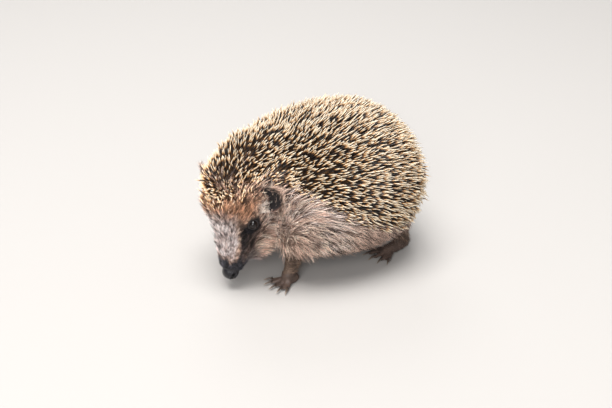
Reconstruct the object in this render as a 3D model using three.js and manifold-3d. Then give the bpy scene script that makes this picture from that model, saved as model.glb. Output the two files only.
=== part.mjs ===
// A young European hedgehog, life size, standing low on four feet with its head turned to its left
// and its snout near the floor. Each solid reaches the tips of the spines and hair that cover it.
import * as THREE from "three";
import { mergeVertices } from "three/addons/utils/BufferGeometryUtils.js";
import Module from "manifold-3d";

const wasm = await Module();
wasm.setup();

// Driving sizes, in millimetres and degrees. The tail points to +Y, the animal's left is +X and
// the floor is at z = 0.
const gap = 0.3; // between neighbouring pieces
const trunk = {
  frontY: -60,
  rearY: 57,
  // heights and half widths from the shoulder end to the rump end, closer together near the ends
  top: [60, 88, 100, 103, 103, 98, 82, 54],
  bottom: [60, 29, 16, 12, 12, 18, 34, 54],
  waist: [60, 52, 47, 45, 46, 50, 54, 54],
  half: [0, 36, 50, 57, 58, 52, 37, 0],
  rings: 23,
  sides: 28,
};
// the lower edge of the spines, seen from the side: distances along Y and heights
const hem = [[-98, 88], [-68, 74], [-45, 62], [-20, 47.5], [5, 39], [32, 36], [90, 32]];
const neckCut = { point: [1, -56, 62], normal: [-0.1, 0.9, 0.08] }; // between head and neck
const shoulderY = -38; // where the neck meets the shoulders
const backY = -14; // where the shoulders meet the back
const rumpY = 30; // where the back meets the rump

const head = {
  nose: [12, -83.5, 9],
  yaw: 31,
  pitch: 68,
  roll: -20,
  // heights above and below the head's own axis, and half widths, at distances behind the nose;
  // past the ears the axis curves back through the neck into the shoulders
  at: [0, 2.5, 7, 13, 21, 30, 40, 50, 60, 72, 84, 94],
  top: [0, 4.2, 6.2, 8.2, 11.2, 16, 22, 29, 34, 34, 31, 12],
  bottom: [0, 4.5, 5.6, 9, 17, 24, 27.5, 28.5, 28, 24, 20, 12],
  half: [0, 5.4, 7.6, 9.8, 13.8, 17.8, 21.5, 25.5, 29.5, 35, 40, 24],
  sides: 24,
};
const neck = { straight: 50, middle: [0, -53, 65], end: [0, -26, 64] };
const noseEnd = 6; // distances behind the tip of the nose
const muzzleEnd = 22;
// the spines of the forehead stand out as a low dome: its middle and radii in the head's frame
const brow = { middle: [0, 61, 5.5], radii: [27, 20, 25] };
const jaw = {
  at: [9, 10.5, 14, 20, 28, 36, 40],
  middle: [-7, -8.2, -11.3, -16, -20, -22, -22],
  deep: [0, 2, 3.4, 4.8, 5.4, 5.4, 3],
  half: [0, 3.8, 6.2, 9, 12, 13, 7],
};
const crown = { front: 48, top: 22, slope: 32 }; // the lower edge of the forehead's spines
const eye = { behind: 38.7, side: 18.2, up: 4.4, radius: 3.2 };
const ear = { height: 16.5, width: 17.5, cup: 4.2, wall: 1.6 };
// the left ear's root, the way from there to its rim, and the way that its hollow side looks
const earRoot = [25, 51.8, 6];
const earAxis = [0.78, 0.62, 0.03];
const earFace = [0.354, -0.483, 0.778];
const tail = { base: [0, 44, 28], tip: [1.5, 61, 14], radius: 4.2, tipRadius: 1.4 };

const foreleg = { x: 24, y: -36, top: 30, radiusTop: 9, radiusWrist: 4.8 };
const hindleg = { x: 27, y: 33, top: 30, radiusTop: 12, radiusWrist: 5.4 };
const forepaw = {
  x: 25,
  y: -41,
  width: 12,
  length: 13,
  height: 8,
  toe: 6,
  toeRadius: 1.7,
  claw: 5,
  wrist: 4,
};
const hindpaw = {
  x: 28,
  y: 30,
  width: 11,
  length: 26,
  height: 8.5,
  toe: 6.5,
  toeRadius: 1.8,
  claw: 5.5,
  wrist: 19,
};
const stride = 5; // the left forefoot and the right hind foot stand this far ahead
const turnOut = 8; // degrees that each foot points outward
const toeFan = [-36, -17, 0, 17, 36];
const toeLength = [0.62, 0.95, 1, 0.92, 0.66];
const footMiddle = 2; // height of the middle of a foot's rings
const clawRadius = 0.85;
const clawClear = 0.6; // between the claws and the floor

const colours = {
  spines: 0x6b5744,
  fur: 0x9c8470,
  darkSkin: 0x2c2a2b,
  nose: 0x17171a,
  eye: 0x050506,
  ear: 0x2b2927,
  paw: 0x4a3f3a,
  claw: 0x6e6258,
};
const finish = (color, roughness) => new THREE.MeshStandardMaterial({ color, roughness, metalness: 0 });
const materials = {
  spines: finish(colours.spines, 0.6),
  fur: finish(colours.fur, 0.9),
  darkSkin: finish(colours.darkSkin, 0.8),
  nose: finish(colours.nose, 0.35),
  eye: finish(colours.eye, 0.08),
  ear: finish(colours.ear, 0.8),
  paw: finish(colours.paw, 0.75),
  claw: finish(colours.claw, 0.5),
};

// ---- shapes ----

const vec = (x, y, z) => new THREE.Vector3(x, y, z);
const rad = THREE.MathUtils.degToRad;

// A smooth value along equally spaced knots, for t from 0 to 1.
function along(knots, t) {
  return new THREE.SplineCurve(knots.map((k) => new THREE.Vector2(k, 0))).getPoint(t).x;
}

// The same geometry, turned right side out.
function facingOut(shape) {
  const p = shape.attributes.position;
  const index = shape.index.array;
  const [a, b, c] = [vec(), vec(), vec()];
  let volume = 0;
  for (let i = 0; i < index.length; i += 3) {
    a.fromBufferAttribute(p, index[i]);
    b.fromBufferAttribute(p, index[i + 1]);
    c.fromBufferAttribute(p, index[i + 2]);
    volume += a.dot(b.cross(c));
  }
  if (volume > 0) return shape;
  for (let i = 0; i < index.length; i += 3) {
    [index[i], index[i + 1]] = [index[i + 1], index[i]];
  }
  return shape;
}

// A closed skin over rings of equal size. Each end is drawn to the middle of its ring, or, where the
// rings are thin crescents, closed by a strip from one side of the crescent to the other.
function loft(rings, crescents = false) {
  const sides = rings[0].length;
  const middle = (ring) => ring.reduce((sum, p) => sum.add(p), vec(0, 0, 0)).divideScalar(sides);
  const points = crescents ? rings.flat() : [...rings.flat(), middle(rings[0]), middle(rings.at(-1))];
  const faces = [];
  const last = (rings.length - 1) * sides;
  for (let j = 0; j < sides; j++) {
    const k = (j + 1) % sides;
    for (let row = 0; row < last; row += sides) {
      faces.push(row + j, row + k, row + k + sides, row + j, row + k + sides, row + j + sides);
    }
    if (!crescents) faces.push(points.length - 2, k, j, points.length - 1, last + j, last + k);
  }
  for (let j = 0; crescents && j < sides / 2 - 1; j++) {
    const [a, b] = [sides - 1 - j, sides - 2 - j];
    faces.push(j, b, j + 1, j, a, b, last + j, last + j + 1, last + b, last + j, last + b, last + a);
  }
  const shape = new THREE.BufferGeometry().setFromPoints(points);
  shape.setIndex(faces);
  return facingOut(shape);
}

// A three.js geometry as a solid that can be joined and cut.
function solid(geometry, matrix = new THREE.Matrix4()) {
  const bare = geometry.clone();
  bare.deleteAttribute("normal");
  bare.deleteAttribute("uv");
  const merged = facingOut(mergeVertices(bare.applyMatrix4(matrix), 1e-3));
  return new wasm.Manifold(
    new wasm.Mesh({
      numProp: 3,
      vertProperties: merged.attributes.position.array,
      triVerts: new Uint32Array(merged.index.array),
    }),
  );
}

// A very large box whose face passes through a point and whose body lies where the normal points.
function halfSpace(point, normal) {
  const size = 400;
  const box = new THREE.BoxGeometry(size, size, size).translate(0, 0, size / 2);
  const turn = new THREE.Quaternion().setFromUnitVectors(vec(0, 0, 1), normal.clone().normalize());
  return solid(box, new THREE.Matrix4().compose(point, turn, vec(1, 1, 1)));
}

// Both sides of a thin cut through a solid: the side that the normal points to comes first.
function part(shape, point, normal) {
  const step = normal.clone().setLength(gap / 2);
  const beyond = halfSpace(point.clone().add(step), normal);
  const before = halfSpace(point.clone().sub(step), normal.clone().negate());
  return [shape.intersect(beyond), shape.intersect(before)];
}

// An oval ring with a separate reach up and down; a power under 1 makes that side squarer.
function ovalRing(sides, place, half, up, down, powerUp = 1, powerDown = 1) {
  return Array.from({ length: sides }, (_, j) => {
    const angle = (2 * Math.PI * j) / sides;
    const [c, s] = [Math.cos(angle), Math.sin(angle)];
    const power = s > 0 ? powerUp : powerDown;
    const across = half * Math.sign(c) * Math.abs(c) ** power;
    return place(across, (s > 0 ? up : down) * Math.sign(s) * Math.abs(s) ** power);
  });
}

// A tapering limb with round ends from one point to another.
function limb(from, to, radiusFrom, radiusTo, sides = 12, ends = 3) {
  const axis = to.clone().sub(from);
  const turn = new THREE.Quaternion().setFromUnitVectors(vec(0, 0, 1), axis.clone().normalize());
  const ring = (height, radius) =>
    ovalRing(sides, (a, b) => vec(a, b, height).applyQuaternion(turn).add(from), radius, radius, radius);
  const rings = [];
  for (let i = 0; i < ends; i++) {
    const a = ((i + 0.5) / ends) * (Math.PI / 2);
    rings.push(ring(-radiusFrom * Math.cos(a), radiusFrom * Math.sin(a)));
  }
  for (let i = ends - 1; i >= 0; i--) {
    const a = ((i + 0.5) / ends) * (Math.PI / 2);
    rings.push(ring(axis.length() + radiusTo * Math.cos(a), radiusTo * Math.sin(a)));
  }
  return loft(rings);
}

// ---- trunk ----

function trunkShape(grow = 0) {
  const middle = (trunk.frontY + trunk.rearY) / 2;
  const reach = (trunk.rearY - trunk.frontY) / 2 + grow;
  const rings = [];
  for (let i = 0; i < trunk.rings; i++) {
    const t = (i + 0.5) / trunk.rings;
    const y = middle - reach * Math.cos(Math.PI * t);
    const waist = along(trunk.waist, t);
    const up = along(trunk.top, t) - waist + grow;
    const down = waist - along(trunk.bottom, t) + grow;
    const half = along(trunk.half, t) + grow;
    rings.push(ovalRing(trunk.sides, (a, h) => vec(a, y, waist + h), half, up, down, 0.92, 0.75));
  }
  return loft(rings);
}

// Everything below the spines of the trunk: the hem, seen from the side, pushed through the body.
function belowHem(offset) {
  const [front, rear] = [hem[0][0], hem.at(-1)[0]];
  const line = new THREE.SplineCurve(hem.map(([y, z]) => new THREE.Vector2(y, z + offset))).getPoints(14);
  const outline = new THREE.Shape([new THREE.Vector2(front, -50), ...line, new THREE.Vector2(rear, -50)]);
  const width = 240;
  const sheet = new THREE.ExtrudeGeometry(outline, { depth: width, bevelEnabled: false });
  // the outline's own X and Y become the part's Y and Z
  const turn = new THREE.Matrix4().makeBasis(vec(0, 1, 0), vec(0, 0, 1), vec(1, 0, 0));
  return solid(sheet.translate(0, 0, -width / 2), turn);
}

// ---- head, in a frame of its own: the nose's tip is at y = 0, the snout points to -Y and up is +Z ----

const headPose = new THREE.Matrix4().compose(
  vec(...head.nose),
  new THREE.Quaternion().setFromEuler(new THREE.Euler(rad(head.pitch), rad(head.roll), rad(head.yaw), "ZXY")),
  vec(1, 1, 1),
);
const inHead = (x, y, z) => vec(x, y, z).applyMatrix4(headPose);
const headWay = (x, y, z) => vec(x, y, z).transformDirection(headPose);

// Head and neck in the hedgehog's own frame: ovals along a path that is straight up to the ears.
function headShape(grow = 0) {
  const knots = [0, 0.25, 0.5, 0.75, 1].map((t) => inHead(0, t * neck.straight, 0));
  const path = new THREE.CatmullRomCurve3([...knots, vec(...neck.middle), vec(...neck.end)]);
  const length = path.getLength();
  const count = (head.at.length - 1) * 2;
  const rings = [];
  for (let i = 1; i < count; i++) {
    const t = i / count;
    const distance = along(head.at, t) / length;
    const [middle, back] = [path.getPointAt(distance), path.getTangentAt(distance)];
    const turned = THREE.MathUtils.smoothstep(along(head.at, t), neck.straight, head.at.at(-1));
    const across = headWay(1, 0, 0).lerp(vec(1, 0, 0), turned).projectOnPlane(back).normalize();
    const above = across.clone().cross(back);
    const place = (a, h) => middle.clone().addScaledVector(across, a).addScaledVector(above, h);
    const [half, up, down] = [head.half, head.top, head.bottom].map((sizes) => along(sizes, t) + grow);
    rings.push(ovalRing(head.sides, place, half, up, down, 1, 0.9));
  }
  return loft(rings);
}

function browShape(grow = 0) {
  const radii = brow.radii.map((r) => r + grow);
  const ball = new THREE.SphereGeometry(1, 22, 12).scale(...radii);
  return ball.translate(...brow.middle).applyMatrix4(headPose);
}

function jawShape() {
  const count = (jaw.at.length - 1) * 2;
  const rings = [];
  for (let i = 1; i < count; i++) {
    const t = i / count;
    const [half, deep] = [along(jaw.half, t), along(jaw.deep, t)];
    const place = (a, h) => vec(a, along(jaw.at, t), along(jaw.middle, t) + h);
    rings.push(ovalRing(14, place, half, deep + 2, deep));
  }
  return loft(rings);
}

// A rounded ear: crescents stacked from its root to its rim, then set on the head.
function earShape(side) {
  const rows = 7;
  const points = 7;
  const rings = [];
  for (let i = 0; i <= rows; i++) {
    const t = i / rows;
    const half = (ear.width / 2) * Math.sqrt(1 - (1.55 * t - 0.62) ** 2);
    const bend = ear.cup * (1 - 0.5 * t);
    const wall = (ear.wall / 2) * (1 - 0.3 * t);
    const row = (reach, offset) =>
      Array.from({ length: points }, (_, j) => {
        const a = -1 + (2 * j) / (points - 1);
        return vec((half + reach) * a, bend * (1 - a * a) + offset, ear.height * t);
      });
    rings.push([...row(0.25, wall), ...row(-0.25, -wall).reverse()]);
  }
  const axis = vec(...earAxis).normalize();
  const face = vec(...earFace).projectOnPlane(axis).normalize();
  const place = new THREE.Matrix4().makeBasis(axis.clone().cross(face), face.clone().negate(), axis);
  place.setPosition(...earRoot);
  return loft(rings, true).applyMatrix4(new THREE.Matrix4().makeScale(side, 1, 1).multiply(place));
}

// ---- feet, in a frame of their own: toes to -Y, sole at z = 0 ----

function footMatrix(paw, side, ahead) {
  const turn = new THREE.Quaternion().setFromAxisAngle(vec(0, 0, 1), rad(side * turnOut));
  return new THREE.Matrix4().compose(vec(side * paw.x, paw.y - ahead, 0), turn, vec(1, 1, 1));
}

// Where each toe starts and ends, and the tip of its claw, before the foot is set down.
function toes(paw) {
  return toeFan.map((angle, i) => {
    const way = vec(Math.sin(rad(angle)), -Math.cos(rad(angle)), 0);
    const side = (paw.width / 2 - paw.toeRadius) * Math.sin(rad(angle * 2));
    const root = vec(side, -paw.length * 0.28, paw.toeRadius);
    const tip = root.clone().addScaledVector(way, paw.length * 0.2 + paw.toe * toeLength[i]);
    return { way, root, tip };
  });
}

function footShape(paw) {
  const rings = [];
  const count = 6;
  for (let i = 0; i < count; i++) {
    const t = (i + 0.5) / count;
    const y = -(paw.length / 2) * Math.cos(Math.PI * t);
    const size = Math.sqrt(Math.sin(Math.PI * t));
    const half = (paw.width / 2) * size * (1 - 0.25 * t);
    const up = (paw.height - footMiddle) * size * 0.8;
    rings.push(ovalRing(12, (a, h) => vec(a, y, footMiddle + h), half, up, 3.4 * size));
  }
  const pieces = [solid(loft(rings))];
  for (const { root, tip } of toes(paw)) {
    root.setZ(paw.toeRadius * 1.3);
    tip.setZ(paw.toeRadius * 0.8);
    pieces.push(solid(limb(root, tip, paw.toeRadius * 1.15, paw.toeRadius, 6, 2)));
  }
  return wasm.Manifold.union(pieces);
}

function clawShape(paw, toe) {
  const start = toe.tip.clone().addScaledVector(toe.way, paw.toeRadius + gap).setZ(paw.toeRadius * 1.15);
  const side = vec(-toe.way.y, toe.way.x, 0);
  const rings = [];
  const count = 3;
  for (let i = 0; i < count; i++) {
    const t = i / (count - 0.4);
    const radius = clawRadius * (1 - 0.85 * t);
    const drop = (start.z - clawClear - clawRadius) * t * t;
    const middle = start.clone().addScaledVector(toe.way, paw.claw * t).add(vec(0, 0, -drop));
    const place = (a, h) => middle.clone().addScaledVector(side, a).add(vec(0, 0, h));
    rings.push(ovalRing(5, place, radius, radius, radius));
  }
  return loft(rings);
}

// ---- build ----

const hedgehog = new THREE.Group();

function add(name, shape, material) {
  const m = shape.getMesh();
  const geometry = new THREE.BufferGeometry();
  geometry.setAttribute("position", new THREE.BufferAttribute(new Float32Array(m.vertProperties), 3));
  geometry.setIndex(new THREE.BufferAttribute(m.triVerts, 1));
  geometry.computeVertexNormals();
  const mesh = new THREE.Mesh(geometry, material);
  mesh.name = name;
  hedgehog.add(mesh);
}

const rearward = vec(0, 1, 0);
const upward = vec(0, 0, 1);
function wholeBody(grow) {
  const shapes = [trunkShape(grow), headShape(grow), browShape(grow)];
  return wasm.Manifold.union(shapes.map((shape) => solid(shape)));
}
const body = wholeBody(0);
const bodyGrown = wholeBody(gap);
let [afterHead, wholeHead] = part(body, vec(...neckCut.point), vec(...neckCut.normal));

// the trunk and neck, parted along the hem and across
{
  const upper = afterHead.subtract(belowHem(gap / 2));
  const lower = afterHead.intersect(belowHem(-gap / 2));
  for (const [shape, names, material] of [
    [upper, ["nape", "shoulders", "back", "rump"], materials.spines],
    [lower, ["throat", "chest", "belly", "haunches"], materials.fur],
  ]) {
    const [behind, first] = part(shape, vec(0, shoulderY, 0), rearward);
    const [further, second] = part(behind, vec(0, backY, 0), rearward);
    const [last, third] = part(further, vec(0, rumpY, 0), rearward);
    [first, second, third, last].forEach((piece, i) => add(names[i], piece, material));
  }
}

// the head, parted from its nose back
{
  for (const side of [1, -1]) {
    const name = side > 0 ? "left" : "right";
    const ball = new THREE.SphereGeometry(eye.radius, 14, 10);
    const socket = new THREE.SphereGeometry(eye.radius + gap, 12, 8);
    const place = headPose.clone().setPosition(inHead(side * eye.side, eye.behind, eye.up));
    wholeHead = wholeHead.subtract(solid(socket, place));
    add("eye_" + name, solid(ball, place), materials.eye);
    add("ear_" + name, solid(earShape(side), headPose).subtract(bodyGrown), materials.ear);
  }
  const back = headWay(0, 1, 0);
  const slope = rad(crown.slope);
  const spinesUp = headWay(0, Math.sin(slope), Math.cos(slope));
  const [behindNose, nose] = part(wholeHead, inHead(0, noseEnd, 0), back);
  const [spiny, furred] = part(behindNose, inHead(0, crown.front, crown.top), spinesUp);
  const [face, muzzle] = part(furred, inHead(0, muzzleEnd, 0), back);
  add("nose", nose, materials.nose);
  add("lower_jaw", solid(jawShape(), headPose).subtract(bodyGrown), materials.darkSkin);
  add("muzzle", muzzle, materials.darkSkin);
  add("face", face, materials.fur);
  add("crown", spiny, materials.spines);
}

for (const side of [1, -1]) {
  const name = side > 0 ? "left" : "right";
  for (const [paw, leg, names, ahead] of [
    [forepaw, foreleg, ["foreleg_", "forefoot_", "foreclaw_"], side * stride],
    [hindpaw, hindleg, ["hindleg_", "hindfoot_", "hindclaw_"], -side * stride],
  ]) {
    const place = footMatrix(paw, side, ahead);
    const wrist = vec(0, paw.wrist - paw.length / 2, paw.height * 0.7).applyMatrix4(place);
    const root = vec(side * leg.x, leg.y - ahead / 2, leg.top);
    const shank = solid(limb(root, wrist, leg.radiusTop, leg.radiusWrist, 14, 3)).subtract(bodyGrown);
    const limbAndFoot = shank.add(footShape(paw).transform(place.elements));
    const whole = limbAndFoot.intersect(halfSpace(vec(0, 0, 0), upward));
    const [above, foot] = part(whole, vec(0, 0, paw.height), upward);
    add(names[0] + name, above, materials.fur);
    add(names[1] + name, foot, materials.paw);
    toes(paw).forEach((toe, i) => {
      add(`${names[2]}${name}_${i + 1}`, solid(clawShape(paw, toe), place), materials.claw);
    });
  }
}
const wholeTail = solid(limb(vec(...tail.base), vec(...tail.tip), tail.radius, tail.tipRadius, 12, 3));
add("tail", wholeTail.subtract(bodyGrown), materials.fur);

// the frame's origin is the middle of the footprint, on the floor
const box = new THREE.Box3().setFromObject(hedgehog);
const middle = box.getCenter(vec(0, 0, 0));
hedgehog.position.set(-middle.x, -middle.y, -box.min.z);

export default hedgehog;
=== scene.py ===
import math
import bpy
import numpy as np
from mathutils import Matrix, Vector
from mathutils.bvhtree import BVHTree
from mathutils.kdtree import KDTree


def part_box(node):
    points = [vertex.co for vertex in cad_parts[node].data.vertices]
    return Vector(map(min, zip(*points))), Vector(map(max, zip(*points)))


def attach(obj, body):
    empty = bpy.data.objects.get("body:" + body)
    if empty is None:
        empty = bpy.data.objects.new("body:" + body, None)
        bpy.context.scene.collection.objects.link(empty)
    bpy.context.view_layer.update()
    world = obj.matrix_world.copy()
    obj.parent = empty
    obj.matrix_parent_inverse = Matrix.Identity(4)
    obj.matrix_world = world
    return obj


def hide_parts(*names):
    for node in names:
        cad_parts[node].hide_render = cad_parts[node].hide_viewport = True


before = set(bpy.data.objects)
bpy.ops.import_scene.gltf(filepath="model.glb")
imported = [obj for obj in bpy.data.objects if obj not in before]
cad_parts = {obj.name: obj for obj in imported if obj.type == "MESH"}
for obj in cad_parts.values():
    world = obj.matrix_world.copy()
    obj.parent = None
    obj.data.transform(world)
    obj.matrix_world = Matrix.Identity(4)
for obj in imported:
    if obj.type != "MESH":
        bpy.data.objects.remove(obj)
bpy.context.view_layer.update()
mm = 0.001
draw = np.random.default_rng(23)  # one seed for every random choice


# small helpers

def tint(red, green, blue):  # screen colour, 0 to 255, as the linear colour that shaders use
    return tuple(
        v / 255 / 12.92 if v < 11 else ((v / 255 + 0.055) / 1.055) ** 2.4 for v in (red, green, blue)
    )


def pickOnly(*objects):
    bpy.ops.object.select_all(action="DESELECT")
    for obj in objects:
        obj.select_set(True)
    bpy.context.view_layer.objects.active = objects[0]


def finishWith(obj, kind, **settings):  # adds a modifier and applies it
    pickOnly(obj)
    modifier = obj.modifiers.new(kind.lower(), kind)
    for key, value in settings.items():
        setattr(modifier, key, value)
    bpy.ops.object.modifier_apply(modifier=modifier.name)


def mergeClose(obj, distance):
    pickOnly(obj)
    bpy.ops.object.mode_set(mode="EDIT")
    bpy.ops.mesh.select_all(action="SELECT")
    bpy.ops.mesh.remove_doubles(threshold=distance)
    bpy.ops.object.mode_set(mode="OBJECT")


def settle(obj):  # puts an object's place, turn and size into its mesh
    pickOnly(obj)
    bpy.ops.object.transform_apply(location=True, rotation=True, scale=True)


def readFlat(items, key, width, kind=float):  # one row of numbers for each item
    flat = np.empty(len(items) * width, kind)
    items.foreach_get(key, flat)
    return flat.reshape(-1, width)


def readPoints(mesh):
    return readFlat(mesh.vertices, "co", 3)


def writePoints(mesh, points):
    mesh.vertices.foreach_set("co", np.ascontiguousarray(points, dtype=np.float32).ravel())
    mesh.update()


def readNormals(mesh):
    return readFlat(mesh.vertex_normals, "vector", 3, np.float32).astype(float)


def pointTree(points):
    tree = KDTree(len(points))
    for i, p in enumerate(points):
        tree.insert(p, i)
    tree.balance()
    return tree


def writeValues(mesh, name, values):  # one number at each point, which the materials read
    mesh.attributes.new(name, "FLOAT", "POINT").data.foreach_set("value", values.astype(np.float32))


def unit(vectors):
    return vectors / np.maximum(np.linalg.norm(vectors, axis=-1, keepdims=True), 1e-12)


def ease(x, low, high):  # 0 below low, 1 above high, smooth between
    t = np.clip((x - low) / (high - low), 0, 1)
    return t * t * (3 - 2 * t)


def spotShare(behind, up, middle, size):  # 1 in the middle of a spot, fading over its size
    return np.exp(-((behind - middle[0]) / size[0]) ** 2 - ((up - middle[1]) / size[1]) ** 2)


def ripple(points, size, phase=0.0):  # soft blotches between -1 and 1, about this size across
    x, y, z = (points / size * 2.1).T
    wave = np.sin(x + 1.7 * np.sin(y * 0.9 + phase) + phase) * np.sin(y * 1.1 + 1.3 * np.sin(z + phase))
    return 0.6 * wave + 0.4 * np.sin(z * 1.3 + 1.5 * np.sin(x * 0.8) + 2 * phase)


def newFinish(name, roughness, **sockets):
    material = bpy.data.materials.new(name)
    material.use_nodes = True
    shader = material.node_tree.nodes["Principled BSDF"]
    shader.inputs["Roughness"].default_value = roughness
    for key, value in sockets.items():
        shader.inputs[key.replace("_", " ")].default_value = value
    return material, material.node_tree, shader


def addNode(tree, kind, settings=None, **inputs):
    node = tree.nodes.new(kind)
    for key, value in (settings or {}).items():
        setattr(node, key, value)
    for key, value in inputs.items():
        socket = node.inputs[int(key[1:]) if key[1:].isdigit() else key]
        if isinstance(value, bpy.types.NodeSocket):
            tree.links.new(value, socket)
        else:
            socket.default_value = value
    return node


def attribute(tree, name, output="Fac"):
    return addNode(tree, "ShaderNodeAttribute", {"attribute_name": name}).outputs[output]


def ramp(tree, value, stops):
    node = addNode(tree, "ShaderNodeValToRGB", i0=value)
    band = node.color_ramp
    while len(band.elements) < len(stops):
        band.elements.new(0.5)
    for element, (place, colour) in zip(band.elements, stops):
        element.position = place
        element.color = (*colour, 1)
    return node.outputs["Color"]


def multiply(tree, first, second):
    mix = {"data_type": "RGBA", "blend_type": "MULTIPLY"}
    return addNode(tree, "ShaderNodeMix", mix, i0=1.0, i6=first, i7=second).outputs[2]


def texture(tree, kind, settings=None, **inputs):  # laid out in the object's own frame
    place = addNode(tree, "ShaderNodeTexCoord").outputs["Object"]
    return addNode(tree, kind, settings, Vector=place, **inputs)


def addBump(tree, shader, height, strength, distance, **settings):
    bump = addNode(tree, "ShaderNodeBump", settings, Height=height, Strength=strength, Distance=distance)
    tree.links.new(bump.outputs["Normal"], shader.inputs["Normal"])


def bandedFinish(name, roughness, stops, **sockets):  # its colour runs along each piece
    material, tree, shader = newFinish(name, roughness, **sockets)
    tree.links.new(ramp(tree, attribute(tree, "along"), stops), shader.inputs["Base Color"])
    return material, tree, shader


# head frame

headSet = {
    "nose": (12.0, -67.685, 9.0), "yaw": 31, "pitch": 68, "roll": -20,
    "neck": (46, 80), "neckAlongBody": (-0.048, -0.016),  # where the head fades into the trunk
}
headTurn = (
    Matrix.Rotation(math.radians(headSet["yaw"]), 3, "Z")
    @ Matrix.Rotation(math.radians(headSet["pitch"]), 3, "X")
    @ Matrix.Rotation(math.radians(headSet["roll"]), 3, "Y")
)
headAxes = np.array(headTurn)  # columns: the head's left, its way back, its up
noseTip = np.array(headSet["nose"]) * mm
eyeSet = {"side": 18.2, "behind": 38.7, "up": 4.4, "radius": 3.2}
eyeWay = np.array((0.86, -0.24, 0.45))  # the way that the left eye looks, in the head's frame


def inHead(points):  # left, behind the nose and up, in millimetres
    return (np.asarray(points) - noseTip) @ headAxes / mm


def fromHead(local):
    return noseTip + (np.asarray(local, float) * mm) @ headAxes.T


def headShare(points):  # 1 on the head, 0 on the trunk
    behind = inHead(points)[:, 1]
    return (1 - ease(behind, *headSet["neck"])) * (1 - ease(points[:, 1], *headSet["neckAlongBody"]))


def mirrored(local):  # both sides of the head as its left side
    return np.column_stack([np.abs(local[:, 0]), local[:, 1:]])


crownSet = {"front": 48, "top": 22, "slope": 32}  # the lower edge of the forehead's spines
hemSet = {  # the lower edge of the spines on the body
    "y": (-82, -52, -29, -4, 21, 48, 106), "z": (88, 74, 62, 47.5, 39, 36, 32),
}
earSet = {
    "root": (25, 51.8, 6), "axis": (0.78, 0.62, 0.03), "face": (0.354, -0.483, 0.778),
    "height": 16.5, "width": 17.5, "middle": (0.5, 2.5, 0),
}


def beyondCrownEdge(local):  # how far points lie above the front edge of the spines, in millimetres
    slope = math.radians(crownSet["slope"])
    behind, above = local[:, 1] - crownSet["front"], local[:, 2] - crownSet["top"]
    return behind * math.sin(slope) + above * math.cos(slope)


def onEar(local):  # across the ear from -1 to 1, up it from 0 to 1
    axis = np.array(earSet["axis"]) / np.linalg.norm(earSet["axis"])
    face = np.array(earSet["face"]) - axis * (axis @ np.array(earSet["face"]))
    face = face / np.linalg.norm(face)
    offset = mirrored(local) - earSet["root"]
    tall = offset @ axis / earSet["height"]
    half = earSet["width"] / 2 * np.sqrt(np.clip(1 - (1.55 * tall - 0.62) ** 2, 0.05, 1))
    return offset @ np.cross(axis, face) / half, tall, face


def earDistance(local):  # from the middle of the nearer ear's base, in millimetres
    offset = mirrored(local) - earSet["root"]
    return np.linalg.norm(offset - np.array(earSet["middle"]), axis=1)


def eyeDistance(local):  # from the middle of the nearer eye, in millimetres
    side = np.abs(local[:, 0]) - eyeSet["side"]
    return np.sqrt(side ** 2 + (local[:, 1] - eyeSet["behind"]) ** 2 + (local[:, 2] - eyeSet["up"]) ** 2)


# camera, floor and light

cameraSet = {
    "place": (0.50199, -0.316545, 0.35206), "look": (-0.74878, 0.46789, -0.46947),
    "lens": 60, "sensor": 36, "near": 0.01,
}
bpy.ops.object.camera_add(location=cameraSet["place"])
camera = bpy.context.object
camera.rotation_euler = Vector(cameraSet["look"]).to_track_quat("-Z", "Y").to_euler()
camera.data.lens = cameraSet["lens"]
camera.data.sensor_width = cameraSet["sensor"]
camera.data.clip_start = cameraSet["near"]
bpy.context.scene.camera = camera
bpy.context.scene.view_settings.view_transform = "Standard"

floorSet = {"side": 6.0, "height": -0.0002, "colour": tint(174, 170, 166), "roughness": 0.8}
bpy.ops.mesh.primitive_plane_add(size=floorSet["side"], location=(0, 0, floorSet["height"]))
floor = bpy.context.object
floor.name = "floor"
settle(floor)
floorPaint = newFinish("floorPaint", floorSet["roughness"], Base_Color=(*floorSet["colour"], 1))
floor.data.materials.append(floorPaint[0])

lightSet = {
    "sky": (0.93, 0.96, 1.0), "skyStrength": 0.36, "aim": (0, 0, 0.05),
    "lamps": [  # place, watts, side
        ((0.15, -0.35, 1.9), 64.0, 1.3),
        ((1.5, -1.3, 1.1), 34.0, 1.1),
        ((-1.6, 0.6, 1.3), 12.0, 1.2),
    ],
}
world = bpy.data.worlds.new("studio")
world.use_nodes = True
sky = world.node_tree.nodes["Background"]
sky.inputs["Color"].default_value = (*lightSet["sky"], 1)
sky.inputs["Strength"].default_value = lightSet["skyStrength"]
bpy.context.scene.world = world
for place, watts, side in lightSet["lamps"]:
    bpy.ops.object.light_add(type="AREA", location=place)
    lamp = bpy.context.object
    lamp.data.energy = watts
    lamp.data.size = side
    lamp.rotation_euler = (Vector(lightSet["aim"]) - Vector(place)).to_track_quat("-Z", "Y").to_euler()
print("camera, floor and light are set")


# skin

skinSet = {
    "grow": 0.35 * mm,  # closes the thin cuts between the solids
    "voxel": 0.68 * mm,
    "depthRounds": 90,  # how widely one coat depth fades into the next
    "smallRounds": 5,  # the same for the small parts
    "bigRounds": 10, "normalRounds": 16, "nearEye": (4.6, 9), "eyeDepth": 0.75,
    "smoothRounds": 16, "smoothStep": 1.6, "softFade": 6,
    "faces": 190000, "aboveFloor": 0.0001,
}


def pair(kind):
    return [kind + "_left", kind + "_right"]


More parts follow.
